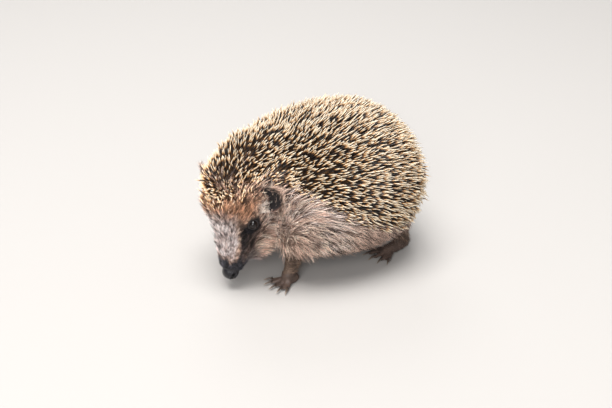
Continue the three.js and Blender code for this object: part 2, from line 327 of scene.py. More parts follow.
spinyNodes = ["crown", "nape", "shoulders", "back", "rump"]
headNodes = ["nose", "muzzle", "lower_jaw", "face"]
footNodes, legNodes = pair("forefoot") + pair("hindfoot"), pair("foreleg") + pair("hindleg")
earNodes, eyeNodes = pair("ear"), pair("eye")
trunkNodes = ["throat", "chest", "belly", "haunches", "tail"]
fleshNodes = spinyNodes + headNodes + trunkNodes + legNodes + footNodes + earNodes
coatDepth = {  # in millimetres, how far the skin lies inside each solid
    "crown": 8.5, "nape": 9, "shoulders": 9.5, "back": 9.5, "rump": 9.5,
    "nose": 0.8, "muzzle": 0.5, "lower_jaw": 1.0, "face": 2.0,
    "throat": 4, "chest": 5, "belly": 5, "haunches": 5.5, "tail": 1.2,
}
for nodes, deep in ((eyeNodes, 1.4), (earNodes, 0.5), (legNodes, 1.6), (footNodes, 0.7)):
    coatDepth.update(dict.fromkeys(nodes, deep))

copies = []
cadPoints, cadFaces, cadOwner = [], [], []
sourceNodes = fleshNodes + eyeNodes
for index, node in enumerate(sourceNodes):
    obj = bpy.data.objects.new("flesh_" + node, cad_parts[node].data.copy())
    bpy.context.scene.collection.objects.link(obj)
    mergeClose(obj, 1e-6)
    base = len(cadPoints)
    cadPoints += [v.co.copy() for v in obj.data.vertices]
    cadFaces += [[base + i for i in p.vertices] for p in obj.data.polygons]
    cadOwner += [index] * len(obj.data.polygons)
    finishWith(obj, "DISPLACE", strength=skinSet["grow"], mid_level=0)
    copies.append(obj)
pickOnly(*copies)
bpy.ops.object.join()
skin = bpy.context.object
skin.name = "skin"
skin.data.name = "skin"
skin.data.materials.clear()
finishWith(skin, "REMESH", mode="VOXEL", voxel_size=skinSet["voxel"], adaptivity=0)
solids = BVHTree.FromPolygons(cadPoints, cadFaces)


def ownersOf(points):
    return np.array(sourceNodes)[[cadOwner[solids.find_nearest(Vector(p))[2]] for p in points]]


def readEdges(mesh):  # the two points of each edge, and how many edges meet at each point
    ends = readFlat(mesh.edges, "vertices", 2, np.int64)
    return ends, np.maximum(np.bincount(ends.ravel(), minlength=len(mesh.vertices)), 1)


def spread(values, rounds):  # averages a value over the skin with its neighbours
    values = np.array(values, float)
    columns = values.reshape(len(values), -1)
    for _ in range(rounds):
        for k in range(columns.shape[1]):
            around = np.bincount(edges[:, 0], columns[edges[:, 1], k], len(values))
            around += np.bincount(edges[:, 1], columns[edges[:, 0], k], len(values))
            columns[:, k] = 0.5 * columns[:, k] + 0.5 * around / neighbours
    return columns.reshape(values.shape)


def owned(nodes):  # the skin points that come from these solids
    return np.isin(ownerNames, nodes)


edges, neighbours = readEdges(skin.data)
surface = readPoints(skin.data)
ownerNames = ownersOf(surface)
depth = np.array([coatDepth[node] for node in sourceNodes])[[sourceNodes.index(n) for n in ownerNames]]
local = inHead(surface)
nearEye = 1 - ease(eyeDistance(local), *skinSet["nearEye"])
besideEye = depth * (1 - nearEye) + skinSet["eyeDepth"] * nearEye
depth = np.where(owned(eyeNodes), depth, besideEye)
isBig = owned(spinyNodes + trunkNodes)
smallDepth = spread(depth, skinSet["smallRounds"])
nearBig = spread(isBig.astype(float), skinSet["bigRounds"]) > 0.02
depth = np.where(nearBig, spread(depth, skinSet["depthRounds"]), smallDepth)
normals = readNormals(skin.data)
small = owned(footNodes + earNodes + headNodes + legNodes + eyeNodes + ["tail"])
inward = np.where(small[:, None], normals, unit(spread(normals, skinSet["normalRounds"])))
writePoints(skin.data, surface - inward * (depth * mm + skinSet["grow"])[:, None])

# soften the facets: fully on the body, lightly on toes and ears
softness = np.ones(len(surface))
for nodes, share in (
    (footNodes + earNodes + eyeNodes, 0.25), (["nose", "muzzle", "lower_jaw"], 0.45), (["face"], 0.7),
):
    softness[owned(nodes)] = share
softness = spread(softness, skinSet["softFade"])
points = readPoints(skin.data)
for _ in range(skinSet["smoothRounds"]):
    points = points + (spread(points, 1) - points) * softness[:, None] * skinSet["smoothStep"]
writePoints(skin.data, points)

# carve the mouth line, the fold behind the nose pad and the hollows beside the bridge
mouthSet = {
    "path": [
        (0, 6.2, -5.4), (3.4, 9, -6.4), (6.0, 13.5, -7.9), (8.2, 18, -10.4), (10.4, 23, -13.4),
        (12, 26.5, -15.4),
    ],
    "width": 0.8, "deep": 1.0, "shadeWidth": 0.7, "shade": 0.7,
}
foldSet = {"behind": 9, "width": 3.6, "side": (3, 6), "deep": 0.1}
lumpSide = (4, 8)  # the lumps fade out towards the middle of the head
faceLumps = [  # middle and size, along and up the head, and how far out, in millimetres
    ((15.5, -4.5), (4.5, 2.6), 0.8),  # the swollen upper lip that carries the whiskers
    ((8.0, -1.2), (3.4, 4.0), 1.1),  # its front, beside the nose pad
    ((30.5, 4.5), (5.5, 3.6), -0.9),  # the hollow in front of the eye
    ((40.5, 11.5), (5.0, 2.8), 0.9),  # the brow above it
    ((37.0, -4.5), (6.0, 3.2), 0.8),  # the cheek under it
    ((17.5, -13.0), (5.0, 3.0), 0.8),  # the lower lip
]
heelRound = 5.5 * mm


def distanceToPath(points, path):
    path = np.array(path, float)
    nearest = np.full(len(points), np.inf)
    for start, end in zip(path[:-1], path[1:]):
        way = end - start
        along = np.clip((points - start) @ way / (way @ way), 0, 1)
        nearest = np.minimum(nearest, np.linalg.norm(points - start - along[:, None] * way, axis=1))
    return nearest


def carve(points):  # how far each skin point moves out, in millimetres
    local = mirrored(inHead(points))
    onHead = headShare(points) * owned(headNodes)
    toMouth = distanceToPath(local, mouthSet["path"])
    move = -mouthSet["deep"] * np.exp(-(toMouth / mouthSet["width"]) ** 2)
    fold = np.exp(-((local[:, 1] - foldSet["behind"]) / foldSet["width"]) ** 2)
    move -= foldSet["deep"] * (fold * ease(local[:, 0], *foldSet["side"]))
    aside = ease(local[:, 0], *lumpSide)
    for middle, size, much in faceLumps:
        move += much * spotShare(local[:, 1], local[:, 2], middle, size) * aside
    return move * onHead


points = readPoints(skin.data)
normals = unit(spread(readNormals(skin.data), 2))
points = points + normals * (carve(points) * mm)[:, None]
for node in footNodes:  # round off the heels
    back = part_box(node)[1][1] - coatDepth[node] * mm
    middle = np.array([back - heelRound, heelRound])
    aside = points[:, 1:] - middle
    heel = (ownerNames == node) & (aside[:, 0] > 0) & (aside[:, 1] < 0)
    far = np.linalg.norm(aside, axis=1)
    points[heel, 1:] = (middle + aside * np.minimum(1, heelRound / np.maximum(far, 1e-6))[:, None])[heel]
points[:, 2] = np.maximum(points[:, 2], skinSet["aboveFloor"])
writePoints(skin.data, points)

# thin out the faces that the coat hides
hidden = skin.vertex_groups.new(name="hidden")
hiddenPoints = np.flatnonzero(spread(isBig.astype(float), 4) > 0.9)
hidden.add(hiddenPoints.tolist(), 1.0, "REPLACE")
bpy.context.view_layer.update()
finishWith(skin, "TRIANGULATE")
keepShare = min(1.0, skinSet["faces"] / len(skin.data.polygons))
finishWith(skin, "DECIMATE", ratio=keepShare, vertex_group="hidden", vertex_group_factor=1.0)
skin.vertex_groups.clear()
print("skin:", len(skin.data.polygons), "faces")
pickOnly(skin)
bpy.ops.object.shade_smooth()

edges, neighbours = readEdges(skin.data)
skinPoints = readPoints(skin.data)
skinNormals = readNormals(skin.data)

# each skin point remembers the solid that it came from
nearest = pointTree(points).find
ownerNames = ownerNames[[nearest(p)[1] for p in skinPoints]]

# unwrap the skin once: roots of the coat take their place on the bake map from it
bpy.ops.object.mode_set(mode="EDIT")
bpy.ops.mesh.select_all(action="SELECT")
bpy.ops.uv.smart_project(angle_limit=math.radians(72), island_margin=0.002)
bpy.ops.object.mode_set(mode="OBJECT")
print("skin unwrapped")


# markings shared by skin and coat

furColours = {
    "flank": tint(186, 160, 146), "flankPale": tint(246, 210, 192), "belly": tint(124, 106, 95),
    "cheek": tint(234, 194, 172), "bridge": tint(216, 200, 197), "forehead": tint(168, 127, 100),
    "mask": tint(36, 33, 36), "greyPatch": tint(170, 160, 156), "muzzle": tint(47, 46, 50),
    "jaw": tint(104, 93, 92), "tuft": tint(214, 198, 186), "underSpines": tint(52, 40, 34),
    "ear": tint(32, 28, 30), "earRim": tint(168, 130, 114), "earFur": tint(214, 184, 166),
    "leg": tint(118, 98, 84), "foot": tint(92, 76, 68),
}
markSet = {  # millimetres and degrees round the head, metres on the body
    "streak": (1.6, 0.18, 1.6), "streakSize": 3.2, "blotch": 0.018,
    "bellyHeight": (0.014, 0.028), "shadedRear": (-0.032, 0.002), "rearLean": 0.4,
    "neckFrom": (34, 46), "neckUnder": (-12, 8),
    "bridgeFrom": (12, 15.5), "aboveMask": (2, 12), "browFrom": (34, 45), "browOver": (6, 26),
    "greyPatch": ((42.5, -2.5), (2.6, 2.2)), "greySide": (12, 16),
    "darkSpot": ((47, 1.0), (2.2, 2.6)), "darkSide": (14, 18),
    "maskStart": 14, "maskTop": (20, 0.8, 20), "maskBottom": (-36, 1.15, 24), "maskEye": (4.4, 7.0),
    "maskFrom": (10, 14), "maskTo": (35, 40), "maskSide": (5.0, 7.6), "eyeShift": (-1.8, -0.2),
    "lipTo": (17, 25), "lipUnder": (-20, -4), "snoutTo": (10, 18),
    "earRim": (0.84, 1.0), "legTop": (0.014, 0.03),
}


def mixed(first, second, share):
    return first * (1 - share[:, None]) + np.asarray(second) * share[:, None]


def within(x, mark):  # 0 to 1 across one of the pairs above
    return ease(x, *markSet[mark])


def coatColour(points, names):
    local = inHead(points)
    left, behind, up = local.T
    side = np.abs(left)
    onHead = headShare(points) * (1 - np.isin(names, earNodes))
    streaks = ripple(local * markSet["streak"], markSet["streakSize"], 0.9)
    turn = np.degrees(np.arctan2(up, side)) + 5 * streaks  # 90 on the bridge, 0 level with the head's axis
    # darker towards the rear and low on the flank: painted shade over the hind flank
    shadedRear = within(points[:, 1] - markSet["rearLean"] * points[:, 2], "shadedRear")
    paleCheek = onHead * within(behind, "neckFrom") * (1 - within(turn, "neckUnder"))
    maskTop, maskBottom = (
        edge + slope * np.clip(behind - markSet["maskStart"], 0, reach)
        for edge, slope, reach in (markSet["maskTop"], markSet["maskBottom"])
    )
    ridge = onHead * within(turn - maskTop, "aboveMask") * within(behind + 1.5 * streaks, "bridgeFrom")
    brow = onHead * within(behind + 3 * streaks, "browFrom") * within(turn, "browOver")
    underEye = spotShare(behind, up, *markSet["greyPatch"]) * within(side, "greySide")
    beforeEar = spotShare(behind, up, *markSet["darkSpot"]) * within(side, "darkSide")

    # the mask runs from the muzzle to the eye and round it
    shiftBack, shiftUp = markSet["eyeShift"]
    toEye = np.hypot((behind - eyeSet["behind"] - shiftBack) / 1.2, up - eyeSet["up"] - shiftUp)
    mask = 1 - within(toEye + 0.8 * streaks, "maskEye")
    streak = ease(maskTop - turn, -4, 4) * ease(turn - maskBottom, -8, 8) * within(behind, "maskFrom")
    streak = streak * (1 - within(behind, "maskTo")) * (0.9 + 0.1 * ease(turn, 2, 14))
    mask = onHead * np.clip(np.maximum(mask, 0.97 * streak) * within(side, "maskSide"), 0, 1)

    lip = onHead * (1 - within(behind + streaks, "lipTo")) * (1 - within(turn, "lipUnder"))
    snout = onHead * (1 - within(behind + 3 * streaks, "snoutTo"))
    across, tall, _ = onEar(local)
    rim = within(np.maximum(np.abs(across), tall), "earRim")
    isEarPoint = np.isin(names, earNodes) * 1.0
    leg = np.isin(names, legNodes) * (1 - 0.7 * within(points[:, 2], "legTop"))
    colour = np.tile(furColours["flank"], (len(points), 1))
    for part, share in (  # each over the ones before it
        ("flankPale", 0.5 + 0.5 * ripple(points, markSet["blotch"])),
        # the second belly share is painted shade over the hind flank
        ("belly", 1 - within(points[:, 2], "bellyHeight")), ("belly", 0.75 * shadedRear),
        ("cheek", onHead * (0.85 + 0.15 * streaks)), ("flankPale", 0.6 * paleCheek),
        ("bridge", ridge * (0.85 + 0.15 * streaks)), ("forehead", brow),
        ("greyPatch", onHead * 0.7 * underEye), ("mask", onHead * 0.4 * beforeEar), ("mask", mask),
        ("jaw", 0.9 * lip), ("muzzle", snout), ("ear", isEarPoint), ("earRim", isEarPoint * rim),
        ("leg", leg), ("foot", np.isin(names, footNodes) * 1.0), ("flank", (names == "tail") * 0.7),
    ):
        colour = mixed(colour, furColours[part], share)
    return colour


def paintMarking(mesh, colours):
    layer = mesh.color_attributes.new("marking", "FLOAT_COLOR", "POINT")
    opaque = np.column_stack([colours, np.ones(len(colours))])
    layer.data.foreach_set("color", opaque.astype(np.float32).ravel())


local = inHead(skinPoints)
aboveHem = ease(skinPoints[:, 2] / mm - np.interp(skinPoints[:, 1] / mm, hemSet["y"], hemSet["z"]), -1, 2)
behindEar = aboveHem * ease(local[:, 1], 52, 56) * (ownerNames == "face")
spinyShare = spread(np.maximum(owned(spinyNodes), behindEar), 8) * (ownerNames != "tail")
skinColour = coatColour(skinPoints, ownerNames)
bareSnout = headShare(skinPoints) * (1 - ease(local[:, 1], 10, 16))
bare = np.maximum(bareSnout, owned(earNodes + footNodes))
skinColour = skinColour * (0.5 + 0.4 * bare)[:, None]
skinColour = mixed(skinColour, furColours["underSpines"], ease(spinyShare, 0.3, 0.6) * 0.9)
isEar = owned(earNodes)
# painted shade along the mouth crease, darkening the skin in the groove
toMouth = distanceToPath(mirrored(local), mouthSet["path"])
mouthShade = np.exp(-(toMouth / mouthSet["shadeWidth"]) ** 2)
skinColour = skinColour * (1 - mouthSet["shade"] * mouthShade * headShare(skinPoints))[:, None]
paintMarking(skin.data, spread(skinColour, 1))
wet = headShare(skinPoints) * (1 - ease(local[:, 1], 9, 14))
writeValues(skin.data, "wet", wet)


# materials

skinFinish, tree, shader = newFinish("skinFinish", 0.7, Specular_IOR_Level=0.3)
pores = texture(tree, "ShaderNodeTexNoise", Scale=1100.0, Detail=3.0)
patchy = texture(tree, "ShaderNodeTexNoise", Scale=170.0, Detail=5.0)
shadeOfPatch = ramp(tree, patchy.outputs["Fac"], [(0.3, [0.62] * 3), (0.7, (1.2, 1.16, 1.12))])
skinPaint = multiply(tree, attribute(tree, "marking", "Color"), shadeOfPatch)
tree.links.new(skinPaint, shader.inputs["Base Color"])
shine = ramp(tree, attribute(tree, "wet"), [(0.0, [0.72] * 3), (1.0, [0.36] * 3)])
tree.links.new(shine, shader.inputs["Roughness"])
addBump(tree, shader, pores.outputs["Fac"], 0.6, 0.0003)
skin.data.materials.append(skinFinish)

furFinish, tree, shader = newFinish("furFinish", 0.5, Specular_IOR_Level=0.35)
# each hair's own dark base and pale tip, deepened by painted shade at the root and brightened by painted
# light at the tip
rootShadeTipLight = ramp(tree, attribute(tree, "along"), [(0.0, [0.12] * 3), (0.3, [0.75] * 3), (1.0, [1.6] * 3)])
furPaint = multiply(tree, attribute(tree, "marking", "Color"), rootShadeTipLight)
tree.links.new(furPaint, shader.inputs["Base Color"])

quillBands = [
    (0.0, tint(120, 96, 72)), (0.34, tint(104, 74, 46)), (0.44, tint(40, 31, 27)),
    (0.655, tint(30, 25, 24)), (0.715, tint(104, 66, 35)), (0.775, tint(200, 156, 106)),
    (0.85, tint(238, 218, 188)), (1.0, tint(250, 240, 222)),
]
bandShift = 0.14  # how far the bands move from one spine to another
quillFinish, tree, shader = newFinish("quillFinish", 0.38, Specular_IOR_Level=0.45)
spot = addNode(
    tree, "ShaderNodeMath", {"operation": "MULTIPLY_ADD"},
    i0=attribute(tree, "tone"), i1=bandShift, i2=-bandShift / 2,
)
add = {"operation": "ADD"}
shifted = addNode(tree, "ShaderNodeMath", add, i0=attribute(tree, "along"), i1=spot.outputs[0])
quillPaint = multiply(tree, ramp(tree, shifted.outputs[0], quillBands), attribute(tree, "marking", "Color"))
tree.links.new(quillPaint, shader.inputs["Base Color"])


# coat

corners = np.array([t.vertices for t in skin.data.polygons], np.int64)
cornerLoops = np.array([tuple(t.loop_indices) for t in skin.data.polygons], np.int64)
unwrapped = readFlat(skin.data.uv_layers[0].data, "uv", 2)
first, second, third = (skinPoints[corners[:, k]] for k in range(3))
triangleArea = np.linalg.norm(np.cross(second - first, third - first), axis=1) / 2
softNormals = unit(spread(skinNormals, 3))
skinTree = BVHTree.FromPolygons([Vector(p) for p in skinPoints], corners.tolist())


def keepRoots(roots, mask):
    return {key: values[mask] for key, values in roots.items()}


def scatterRoots(share, density):  # random places on the skin; share is 0 to 1 at each skin point
    weight = triangleArea * share[corners].mean(axis=1)
    count = int(weight.sum() / mm ** 2 * density)
    chosen = draw.choice(len(corners), count, p=weight / weight.sum())
    r1, r2 = np.sqrt(draw.random(count)), draw.random(count)
    mix = np.column_stack([1 - r1, r1 * (1 - r2), r1 * r2])
    return {
        "places": np.einsum("nk,nkj->nj", mix, skinPoints[corners[chosen]]),
        "normals": unit(np.einsum("nk,nkj->nj", mix, softNormals[corners[chosen]])),
        "uvs": np.einsum("nk,nkj->nj", mix, unwrapped[cornerLoops[chosen]]),
        "names": ownerNames[corners[chosen, 0]],
    }


def spaceOut(roots, gap):  # drops roots that stand closer than the gap
    cells, kept = {}, []
    steps = [(a, b, c) for a in (-1, 0, 1) for b in (-1, 0, 1) for c in (-1, 0, 1)]
    keys = (roots["places"] // gap).astype(int)
    for i, p in enumerate(roots["places"]):
        x, y, z = keys[i]
        near = (q for a, b, c in steps for q in cells.get((x + a, y + b, z + c), ()))
        if all((p[0] - q[0]) ** 2 + (p[1] - q[1]) ** 2 + (p[2] - q[2]) ** 2 > gap * gap for q in near):
            cells.setdefault((x, y, z), []).append(p)
            kept.append(i)
    return keepRoots(roots, np.array(kept))


laySet = {  # how the coat turns on the head, low on the body and behind
    "fan": 30, "mostFan": 0.5, "rise": 0.3, "riseFrom": (34, 50),
    "low": (0.03, 0.08), "droop": 0.8, "stern": (0.03, 0.07), "sternDroop": 0.9,
    "half": 0.04, "aside": 0.22,
}


def layOfCoat(places, normals):  # the way the coat points along the skin
    left, behind, _ = inHead(places).T
    onHead = headShare(places)
    flow = headAxes[:, 1] * onHead[:, None] + np.array([0, 1.0, 0]) * (1 - onHead)[:, None]
    fan = np.clip(left / laySet["fan"], -laySet["mostFan"], laySet["mostFan"])
    flow = flow + headAxes[:, 0] * (fan * onHead)[:, None]
    flow = flow + headAxes[:, 2] * (laySet["rise"] * onHead * ease(behind, *laySet["riseFrom"]))[:, None]
    droop = (1 - ease(places[:, 2], *laySet["low"])) * (1 - onHead)
    stern = ease(places[:, 1], *laySet["stern"])
    flow[:, 2] -= laySet["droop"] * droop + laySet["sternDroop"] * stern
    side = np.clip(places[:, 0] / laySet["half"], -1, 1)
    flow[:, 0] += side * laySet["aside"] * (1 - onHead) * (1 - stern)
    return unit(flow - normals * np.einsum("nj,nj->n", flow, normals)[:, None])


def beyondSolids(points):  # how far each point stands outside the solids, in metres; inside is negative
    out = np.empty(len(points))
    for i, p in enumerate(points):
        near, normal, _, far = solids.find_nearest(Vector(p))
        out[i] = math.copysign(far, (Vector(p) - near).dot(normal))
    return out


coatSet = {
    "rounds": 3,  # how often a strand is lifted or lowered until its tip lies where it should
    "step": 0.8, "leastRun": 0.35, "leastRise": 0.4,
    "slack": 0.8 * mm, "shortest": 0.55,  # strands that still reach too far are cut
    "thick": (0.8, 1.15), "pullCurve": 1.5, "patch": 0.003, "aboveFloor": 0.00005,
}


def growCoat(name, roots, spec, lay, lengths, lift, target, colours, tones, finish, pull=None, girth=1.0):
    count, sides, rings = len(roots["places"]), spec["sides"], np.array(spec["rings"])
    widths = np.array(spec["widths"])
    t = np.append(rings, 1.0)
    jitter = draw.normal(0, spec["jitter"], (count, 3))
    curl = draw.normal(0, spec["curl"], (count, 3))
    start = roots["places"] - roots["normals"] * spec["sink"]
    bow = -roots["normals"] * spec["bow"] + curl
    low, high = np.radians(spec["liftRange"])
    for attempt in range(coatSet["rounds"] + 1):
        heading = unit(lay * np.cos(lift)[:, None] + roots["normals"] * np.sin(lift)[:, None] + jitter)
        tips = start + (heading + bow) * lengths[:, None]
        if attempt == coatSet["rounds"] or target is None:
            break
        miss = beyondSolids(tips) - target
        run = lengths * np.maximum(np.cos(lift), coatSet["leastRun"])
        lift = np.clip(lift - coatSet["step"] * miss / run, low, high)
    if target is not None:
        tooFar = np.maximum(beyondSolids(tips) - target - coatSet["slack"], 0)
        rise = lengths * np.maximum(np.sin(lift), coatSet["leastRise"])
        lengths = lengths * np.clip(1 - tooFar / rise, coatSet["shortest"], 1)
    across = unit(np.cross(heading, roots["normals"] + 1e-4))
    over = np.cross(across, heading)
    path = start[:, None] + heading[:, None] * (lengths[:, None] * t)[:, :, None]
    path = path + bow[:, None] * (lengths[:, None] * t ** 2)[:, :, None]
    if pull is not None:  # locks draw together towards their tips
        path = path + pull[:, None] * (t ** coatSet["pullCurve"])[None, :, None]
    turn = np.arange(sides) / sides * 2 * math.pi
    ringShape = (
        across[:, None, None] * np.cos(turn)[None, None, :, None]
        + over[:, None, None] * np.sin(turn)[None, None, :, None]
    )
    thick = draw.uniform(*coatSet["thick"], count) * spec["radius"] * girth
    body = path[:, :-1, None] + ringShape * (thick[:, None] * widths)[:, :, None, None]
    points = np.concatenate([body.reshape(count, -1, 3), path[:, -1:]], axis=1)
    points[:, :, 2] = np.maximum(points[:, :, 2], coatSet["aboveFloor"])
    each = points.shape[1]

    # one strand: bands between its rings, a cone to the tip and a flat root
    last = len(rings) - 1
    bands = [
        corner for k in range(last) for j in range(sides)
        for corner in ((k, j), (k, j + 1), (k + 1, j + 1), (k + 1, j))
    ]
    faces = [k * sides + j % sides for k, j in bands]
    patch = [(j / sides, t[k]) for k, j in bands]
    for j in range(sides):
        faces += [last * sides + j, last * sides + (j + 1) % sides, each - 1]
        patch += [(j / sides, t[last]), ((j + 1) / sides, t[last]), ((j + 0.5) / sides, 1.0)]
    faces += list(range(sides - 1, -1, -1))
    patch += [(j / sides, 0.0) for j in range(sides - 1, -1, -1)]
    sizes = [4] * last * sides + [3] * sides + [sides]

    def repeated(values, step):  # the same numbers for every strand
        return (np.arange(count)[:, None] * step + values).astype(np.int32).ravel()

    mesh = bpy.data.meshes.new(name)
    mesh.vertices.add(count * each)
    mesh.vertices.foreach_set("co", points.astype(np.float32).ravel())
    mesh.loops.add(count * len(faces))
    mesh.loops.foreach_set("vertex_index", repeated(faces, each))
    mesh.polygons.add(count * len(sizes))
    begins = np.concatenate([[0], np.cumsum(sizes)[:-1]])
    mesh.polygons.foreach_set("loop_start", repeated(begins, len(faces)))
    mesh.update(calc_edges=True)
    mesh.validate()
    uvLayer = mesh.uv_layers.new(name="OFBake")
    uvs = roots["uvs"][:, None] + (np.array(patch) - 0.5)[None] * coatSet["patch"]
    uvLayer.data.foreach_set("uv", uvs.astype(np.float32).ravel())
    writeValues(mesh, "along", np.tile(np.append(np.repeat(rings, sides), 1.0), count))
    writeValues(mesh, "tone", np.repeat(tones, each))
    paintMarking(mesh, np.repeat(colours, each, axis=0))
    mesh.shade_smooth()
    obj = bpy.data.objects.new(name, mesh)
    bpy.context.scene.collection.objects.link(obj)
    mesh.materials.append(finish)
    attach(obj, "root")
    print(name, count, "pieces,", count * int(sum(sizes) - 2 * len(sizes)), "triangles")
    return obj


quillSet = {
    "density": 1.5, "gap": 1.24 * mm, "sides": 5, "radius": 0.46 * mm, "sink": 1.0 * mm,
    "rings": (0.0, 0.10, 0.5, 0.80, 0.94), "widths": (0.35, 0.85, 1.0, 0.82, 0.45),
    "jitter": 0.15, "bow": 0.05, "curl": 0.02, "liftRange": (14, 80),
    "tips": -0.3 * mm, "spread": 1.3 * mm,  # where the tips lie beyond the solids, and how unevenly
    "length": 13.2, "rumpLonger": 5.6, "crownShorter": 2.2, "edgeShorter": 2.2,
    "lift": 38, "rumpLower": 8, "edgeLower": 1.4 * mm, "edgeThinner": 0.36,
    "crown": (2, 18), "edge": (-2, 5), "body": (-0.05, 0.05),
    "warm": (1.02, 0.84, 0.62), "bright": (0.58, 0.92),
    "cuts": (-0.005, 0.028),  # where one piece ends and the next begins, along the body
}
spinyHere = ease(spinyShare + 0.16 * ripple(skinPoints, 0.006, 0.4), 0.42, 0.60)
ahead = beyondCrownEdge(local)
strays = 0.7 * ease(ahead, -8, 0) * (ownerNames == "face") * (np.abs(local[:, 0]) < 22)
spinyHere = np.maximum(spinyHere, strays * headShare(skinPoints)) * (1 - isEar)
allQuills = spaceOut(scatterRoots(spinyHere, quillSet["density"]), quillSet["gap"])


def growQuills(name, roots):
    places = roots["places"]
    count = len(places)
    onHead = headShare(places)
    ahead = beyondCrownEdge(inHead(places))
    front = onHead * (1 - ease(ahead, *quillSet["crown"]))
    brow = onHead * (1 - ease(ahead, *quillSet["edge"]))
    along = ease(places[:, 1], *quillSet["body"])
    lengths = quillSet["length"] + quillSet["rumpLonger"] * along
    lengths = lengths - quillSet["crownShorter"] * front - quillSet["edgeShorter"] * brow
    lengths = lengths * draw.uniform(0.9, 1.1, count) * mm
    lift = np.radians(quillSet["lift"] - quillSet["rumpLower"] * along)
    target = draw.normal(quillSet["tips"], quillSet["spread"], count) - quillSet["edgeLower"] * brow
    warmth = np.clip(0.9 * front + 0.35, 0, 1) * draw.random(count)
    warm = mixed(np.ones((count, 3)), quillSet["warm"], warmth)
    bright = draw.uniform(*quillSet["bright"], count) * (1 + 0.3 * brow + 0.36 * front)
    return growCoat(
        name, roots, quillSet, layOfCoat(places, roots["normals"]), lengths, lift, target,
        warm * bright[:, None], draw.random(count) + 0.9 * brow, quillFinish,
        girth=1 - quillSet["edgeThinner"] * brow,
    )


onCrown = np.isin(allQuills["names"], ["crown", "face"] + earNodes)
bodyPart = np.where(onCrown, -1, np.digitize(allQuills["places"][:, 1], quillSet["cuts"]))
for name, here in (
    ("quillsCrown", onCrown), ("quillsShoulders", bodyPart == 0),
    ("quillsBack", bodyPart == 1), ("quillsRump", bodyPart == 2),
):
    growQuills(name, keepRoots(allQuills, here))

furSet = {
    "sides": 3, "sink": 0.25 * mm, "rings": (0.0, 0.35, 0.72), "widths": (0.8, 1.0, 0.6),
    "jitter": 0.12, "bow": 0.08, "curl": 0.05, "liftRange": (4, 50),
    "bareEye": 3.9, "bareNose": 5.2,  # no hair nearer than this
    "sway": 0.10, "showsAt": 0.45, "palest": 0.92,
    "locks": 0.20, "lockPull": 0.5, "hairTone": (0.75, 1.25), "trimmed": 1.0,  # unless a look says otherwise
}
trims = [  # the hair is short round the eyes and ears: its least share, and where it grows back
    (eyeDistance, 0.4, (4, 9)), (earDistance, 0.36, (5, 13)),
]
furry = 1 - ease(spinyShare, 0.45, 0.72)


def growFur(name, where, look):
    look = {**furSet, **look, "radius": look["radius"] * mm}
    roots = scatterRoots(where, look["density"])
    local = inHead(roots["places"])
    roots = keepRoots(roots, (eyeDistance(local) > furSet["bareEye"]) & (local[:, 1] > furSet["bareNose"]))
    local = inHead(roots["places"])
    places = roots["places"]
    count = len(places)
    lengths = draw.uniform(*look["length"], count) * mm
    onHead = headShare(places)
    shorten = 0.40 + 0.24 * ease(local[:, 1], 14, 26) + 0.36 * ease(local[:, 1], 30, 48)
    for distance, least, reach in trims:
        shorten *= least + (1 - least) * ease(distance(local), *reach)
    lengths *= 1 - onHead * (1 - shorten) * look["trimmed"]
    lay = layOfCoat(places, roots["normals"])
    if "lean" in look:
        lean = look["lean"] * np.column_stack([np.sign(local[:, 0]), np.ones(count), np.ones(count)])
        lay = unit(lay + lean @ headAxes.T)
    lift = np.radians(draw.uniform(*look["lift"], count))
    target = None
    if "reach" in look:
        target = draw.normal(look["reach"] * mm, look["uneven"] * mm, count)

    # locks: each hair joins the nearest of a few lock centres
    locks = max(3, int(count * look["locks"]))
    centres = places[draw.choice(count, locks, replace=False)]
    nearest = pointTree(centres).find
    lock = np.array([nearest(p)[1] for p in places])
    darkest, brightest = look["lockTone"]
    bright = (darkest + (brightest - darkest) * ease(draw.random(locks), 0.2, 0.8))[lock]
    pull = (centres[lock] - places) * look["lockPull"]
    lay = unit(lay + draw.normal(0, look["sway"], (locks, 3))[lock])
    bright = bright * draw.uniform(*look["hairTone"], count)
    shown = places + lay * (look["showsAt"] * lengths)[:, None]
    colours = coatColour(shown, roots["names"])
    if "colour" in look:
        colours = mixed(colours, furColours[look["colour"]], np.full(count, 0.85))
    colours = colours * bright[:, None]
    held = colours * np.minimum(1, look["palest"] / colours.max(axis=1))[:, None]
    colours = 0.5 * held + 0.5 * np.clip(colours, 0, look["palest"])  # the palest hairs keep half their tint
    tones = draw.random(count)
    return growCoat(name, roots, look, lay, lengths, lift, target, colours, tones, furFinish, pull)


isLeft = skinPoints[:, 0] > 0.004
headLeft = local[:, 0] > 0
nearHead = owned(headNodes + ["throat", "chest", "crown", "nape"]) * headShare(skinPoints) * furry
underBrow = owned(["face", "crown"]) * (1 - ease(ahead, 5, 10)) * headShare(skinPoints)
onFace = np.maximum(nearHead, underBrow) * ease(local[:, 1], 11.5, 14)
onSnout = nearHead * (1 - ease(local[:, 1], 14, 17))
belowAxis = -np.degrees(np.arctan2(local[:, 2], np.abs(local[:, 0])))
lowCheek = nearHead * ease(local[:, 1], 13, 19) * ease(belowAxis, 14, 28)
onTrunk = owned(trunkNodes[:4] + spinyNodes + ["face"]) * (1 - headShare(skinPoints)) * furry
isUnder = ease(-skinNormals[:, 2], 0.72, 0.86)
onLegs = owned(legNodes)
onFeet = owned(footNodes + ["tail"])

